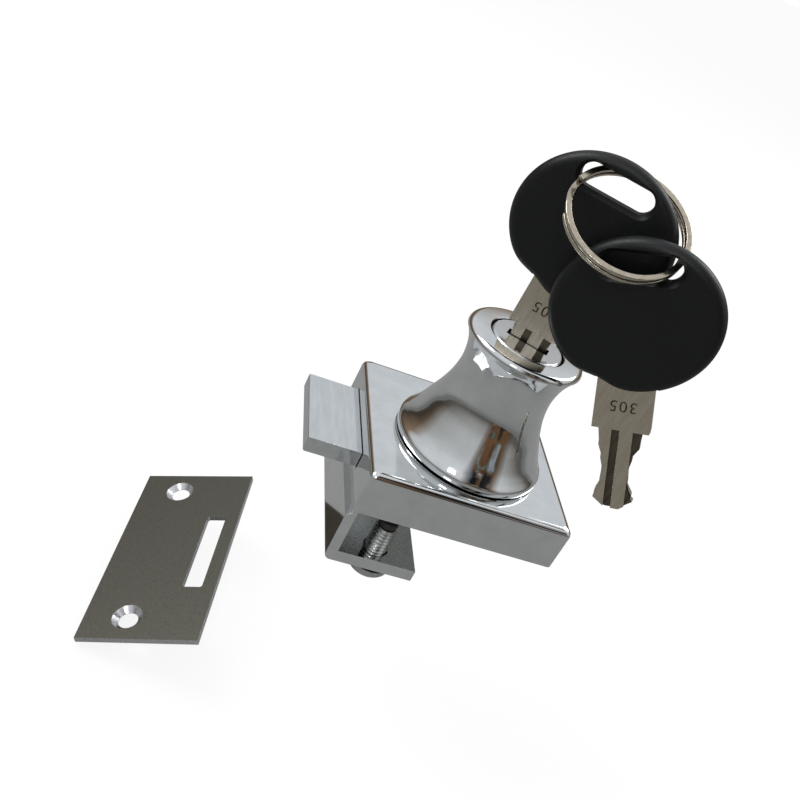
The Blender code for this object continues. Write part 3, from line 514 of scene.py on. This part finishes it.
def makeStamp(place):
    # the number punched in the blade, read from the tip
    b = keyBlade
    clearSelection()
    bpy.ops.object.text_add(location=(0, 0, 0))
    stamp = bpy.context.object
    stamp.data.body = b["stamp"]
    stamp.data.size = b["stampSize"] * mm
    stamp.data.align_x = "CENTER"
    stamp.data.align_y = "CENTER"
    stamp.data.extrude = b["stampDeep"] * mm
    stamp.data.space_character = b["stampSpacing"]
    stamp.data.resolution_u = 4
    bpy.ops.object.convert(target="MESH")
    stamp = bpy.context.object
    tidyMesh(stamp)
    upsideDown = Matrix.Rotation(math.pi, 4, "Z")
    placePiece(stamp, place @ Matrix.Translation((0, b["stampHeight"] * mm, b["half"] * mm)) @ upsideDown)
    return stamp


def makeKeyBlade(index):
    piece = pieceFromNode(f"key_{index}_blade", f"milledBlade{index}")
    applyModifier(piece, "BEVEL", width=keyBlade["edge"] * mm, segments=2, limit_method="ANGLE",
                  angle_limit=math.radians(keyBlade["worked"]), use_clamp_overlap=True)
    place = keyFrame(*keyPlaces[f"key_{index}"])
    cutAway(piece, makeStamp(place))
    smoothPiece(piece, keyBlade["soft"], weighted=True)
    finishPiece(piece, materials["nickel"], f"key_{index}", f"key_{index}_blade")
    # the milled grooves, the ledge and the stamped digits are rougher than the blade's faces, and painted
    # darker as shade
    piece.data.materials.append(materials["recess"])
    toBlade = place.inverted()
    turnOnly = toBlade.to_3x3()
    # faces sunk below the blade's face take the darker material, the painted shade
    for face in piece.data.polygons:
        depth = abs((toBlade @ face.center).z)
        facing = abs((turnOnly @ face.normal).z) > keyBlade["facing"]
        if facing and depth < keyBlade["grooveFrom"] * mm:
            face.material_index = 1


for keyIndex in (1, 2):
    makeKeyHead(keyIndex)
    makeKeyBlade(keyIndex)
print("keys made")


ring = {"levels": 2, "soft": 60}


def makeRing():
    # the CAD coil, with its strip's corners and its turns made finer
    piece = pieceFromNode("split_ring", "coiledRing", flatten=False)
    applyModifier(piece, "SUBSURF", levels=ring["levels"], render_levels=ring["levels"])
    smoothPiece(piece, ring["soft"])
    finishPiece(piece, materials["wire"], "ring", "split_ring")


makeRing()
print("ring made")


# the small nodes keep their CAD shape and get their finish, by how their names start
smallFinishes = {
    "cover_screw": "zinc", "knob_screw": "zinc", "wafer_spring": "zinc", "wafer": "brass",
    "plug_clip": "zinc", "cam": "zinc",
}


def finishSmallNodes():
    for node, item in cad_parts.items():
        for start, key in smallFinishes.items():
            if node.startswith(start):
                item.data.materials.clear()
                item.data.materials.append(materials[key])
                break


finishSmallNodes()
print("small parts finished")


studio = {
    "floorDrop": 0.0008, "floorRadius": 12.0, "floorCorners": 160,
    "floorColour": "fbfbfa", "floorSeenInMetal": "929290",
    "floorLift": 0.88,  # how much of the floor's white is its own, so that it keeps a soft shadow
    "lamps": [
        # place, size, power in watts, aim
        ((-0.7, 0.25, 0.8), 0.5, 5.0, (0, 0, 0.01)),
        ((0.75, 0.45, 0.7), 0.45, 3.5, (0, 0, 0.02)),
        ((-0.35, -0.75, 0.75), 0.16, 1.3, (0, 0, 0.02)),
    ],
}


def makeFloor():
    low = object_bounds()[0]
    clearSelection()
    bpy.ops.mesh.primitive_circle_add(vertices=studio["floorCorners"], radius=studio["floorRadius"],
                                      fill_type="NGON", location=(0, 0, low.z - studio["floorDrop"]))
    floor = bpy.context.object
    floor.name = "paleFloor"
    bpy.ops.object.transform_apply(location=True, rotation=True, scale=True)
    material = bpy.data.materials.new("paleFloorPaper")
    material.use_nodes = True
    material.node_tree.nodes.clear()
    path = addNode(material, "ShaderNodeLightPath")
    paper = addNode(material, "ShaderNodeBsdfDiffuse",
                    inputs={"Color": linearColour(studio["floorColour"])})
    glow = addNode(material, "ShaderNodeEmission", inputs={"Color": (1, 1, 1, 1), "Strength": 1.0})
    lift = addNode(material, "ShaderNodeMixShader", inputs={"Fac": studio["floorLift"]},
                   links={1: paper.outputs[0], 2: glow.outputs[0]})
    shaded = addNode(material, "ShaderNodeBsdfDiffuse",
                     inputs={"Color": linearColour(studio["floorSeenInMetal"])})
    mix = addNode(material, "ShaderNodeMixShader",
                  links={"Fac": path.outputs["Is Camera Ray"], 1: shaded.outputs[0], 2: lift.outputs[0]})
    addNode(material, "ShaderNodeOutputMaterial", links={"Surface": mix.outputs[0]})
    floor.data.materials.append(material)


room = {
    # brightness by height of the look, floor line, walls and ceiling:
    # behind the object, then on the camera's side
    "farStops": [(0.0, "6e6e6d"), (0.46, "605c57"), (0.52, "473e35"), (0.6, "7c6a56"),
                 (0.66, "94806a"), (0.705, "e2e6ea"), (1.0, "f2f4f6")],
    "nearStops": [(0.0, "6e6e6d"), (0.47, "5f5d5a"), (0.52, "6a6762"), (0.57, "a3a29f"),
                  (0.66, "cfd1d2"), (0.76, "e6e9ec"), (1.0, "f2f4f6")],
    "farFrom": (0.0, 0.4),  # the look's Y at which the near walls go over into the far ones
    # a darker patch behind the camera that polished metal shows: its bearing, width, height and colours
    "patchBearing": (0.34, -0.94, 0.0), "patchEdge": (0.92, 1.025), "patchRagged": 0.12,
    "patchTop": (0.93, 0.8), "patchBlotches": {"Scale": 2.6, "Detail": 4.0, "Distortion": 1.2},
    "patchColours": [(0.36, "14161b"), (0.47, "2a2a2c"), (0.52, "554232"), (0.57, "7a553a"),
                     (0.6, "4c4f3e"), (0.68, "aab0b8")],
}


def addRamp(world, stops, source):
    ramp = addNode(world, "ShaderNodeValToRGB", links={"Fac": source})
    elements = ramp.color_ramp.elements
    elements[0].position, elements[0].color = stops[0][0], linearColour(stops[0][1])
    elements[1].position, elements[1].color = stops[-1][0], linearColour(stops[-1][1])
    for position, colour in stops[1:-1]:
        elements.new(position).color = linearColour(colour)
    return ramp


def addRange(world, low, high, source):
    return addNode(world, "ShaderNodeMapRange", inputs={"From Min": low, "From Max": high},
                   links={"Value": source})


def makeWorld():
    world = bpy.data.worlds.new("paleRoom")
    bpy.context.scene.world = world
    world.use_nodes = True
    world.node_tree.nodes.clear()
    where = addNode(world, "ShaderNodeTexCoord")
    split = addNode(world, "ShaderNodeSeparateXYZ", links={"Vector": where.outputs["Generated"]})
    # the walls
    height = addRange(world, -1.0, 1.0, split.outputs["Z"])
    farWalls = addRamp(world, room["farStops"], height.outputs["Result"])
    nearWalls = addRamp(world, room["nearStops"], height.outputs["Result"])
    toFar = addRange(world, *room["farFrom"], split.outputs["Y"])
    walls = addNode(world, "ShaderNodeMix", values={"data_type": "RGBA"},
                    links={"Factor": toFar.outputs["Result"], 6: nearWalls.outputs["Color"],
                           7: farWalls.outputs["Color"]})
    # the patch, by how near the look's bearing is to its own
    level = addNode(world, "ShaderNodeVectorMath", values={"operation": "MULTIPLY"},
                    inputs={1: (1, 1, 0)}, links={0: where.outputs["Generated"]})
    bearing = addNode(world, "ShaderNodeVectorMath", values={"operation": "NORMALIZE"},
                      links={0: level.outputs["Vector"]})
    near = addNode(world, "ShaderNodeVectorMath", values={"operation": "DOT_PRODUCT"},
                   inputs={1: room["patchBearing"]}, links={0: bearing.outputs["Vector"]})
    blotches = addNode(world, "ShaderNodeTexNoise", inputs=room["patchBlotches"],
                       links={"Vector": where.outputs["Generated"]})
    ragged = addNode(world, "ShaderNodeMath", values={"operation": "MULTIPLY_ADD"},
                     inputs={1: room["patchRagged"]},
                     links={0: blotches.outputs["Fac"], 2: near.outputs["Value"]})
    across = addRange(world, *room["patchEdge"], ragged.outputs["Value"])
    upward = addRange(world, *room["patchTop"], split.outputs["Z"])
    cover = addNode(world, "ShaderNodeMath", values={"operation": "MULTIPLY"},
                    links={0: across.outputs["Result"], 1: upward.outputs["Result"]})
    patch = addRamp(world, room["patchColours"], blotches.outputs["Fac"])
    seen = addNode(world, "ShaderNodeMix", values={"data_type": "RGBA"},
                   links={"Factor": cover.outputs["Value"], 6: walls.outputs[2], 7: patch.outputs["Color"]})
    # the camera itself sees plain white
    back = addNode(world, "ShaderNodeBackground", inputs={"Strength": 1.0},
                   links={"Color": seen.outputs[2]})
    white = addNode(world, "ShaderNodeBackground", inputs={"Color": (1, 1, 1, 1), "Strength": 1.0})
    path = addNode(world, "ShaderNodeLightPath")
    mix = addNode(world, "ShaderNodeMixShader",
                  links={"Fac": path.outputs["Is Camera Ray"], 1: back.outputs[0], 2: white.outputs[0]})
    addNode(world, "ShaderNodeOutputWorld", links={"Surface": mix.outputs[0]})


def makeLamps():
    for index, (place, size, power, aim) in enumerate(studio["lamps"], start=1):
        clearSelection()
        bpy.ops.object.light_add(type="AREA", location=place)
        lamp = bpy.context.object
        lamp.name = f"softLamp{index}"
        lamp.data.shape = "SQUARE"
        lamp.data.size = size
        lamp.data.energy = power
        lamp.rotation_euler = (Vector(aim) - Vector(place)).to_track_quat("-Z", "Y").to_euler()


camera = {
    "place": (-0.06612, -0.14692, 0.10211),
    "forward": (0.27919, 0.82404, -0.49296),
    "up": (-0.29865, 0.56243, 0.77103),
    "sensor": 36.0, "lensPerSensor": 967.0 / 800.0,  # the picture is 800 pixels wide
    "clipStart": 0.005, "clipEnd": 20.0,
}


def makeCamera():
    clearSelection()
    bpy.ops.object.camera_add()
    item = bpy.context.object
    forward = Vector(camera["forward"]).normalized()
    right = forward.cross(Vector(camera["up"])).normalized()
    up = right.cross(forward)
    turn = Matrix((right, up, -forward)).transposed().to_4x4()
    item.matrix_world = Matrix.Translation(camera["place"]) @ turn
    item.data.sensor_width = camera["sensor"]
    item.data.lens = camera["lensPerSensor"] * camera["sensor"]
    item.data.clip_start = camera["clipStart"]
    item.data.clip_end = camera["clipEnd"]
    bpy.context.scene.camera = item


makeFloor()
makeWorld()
makeLamps()
makeCamera()
bpy.context.scene.view_settings.view_transform = "Standard"
print("studio made")
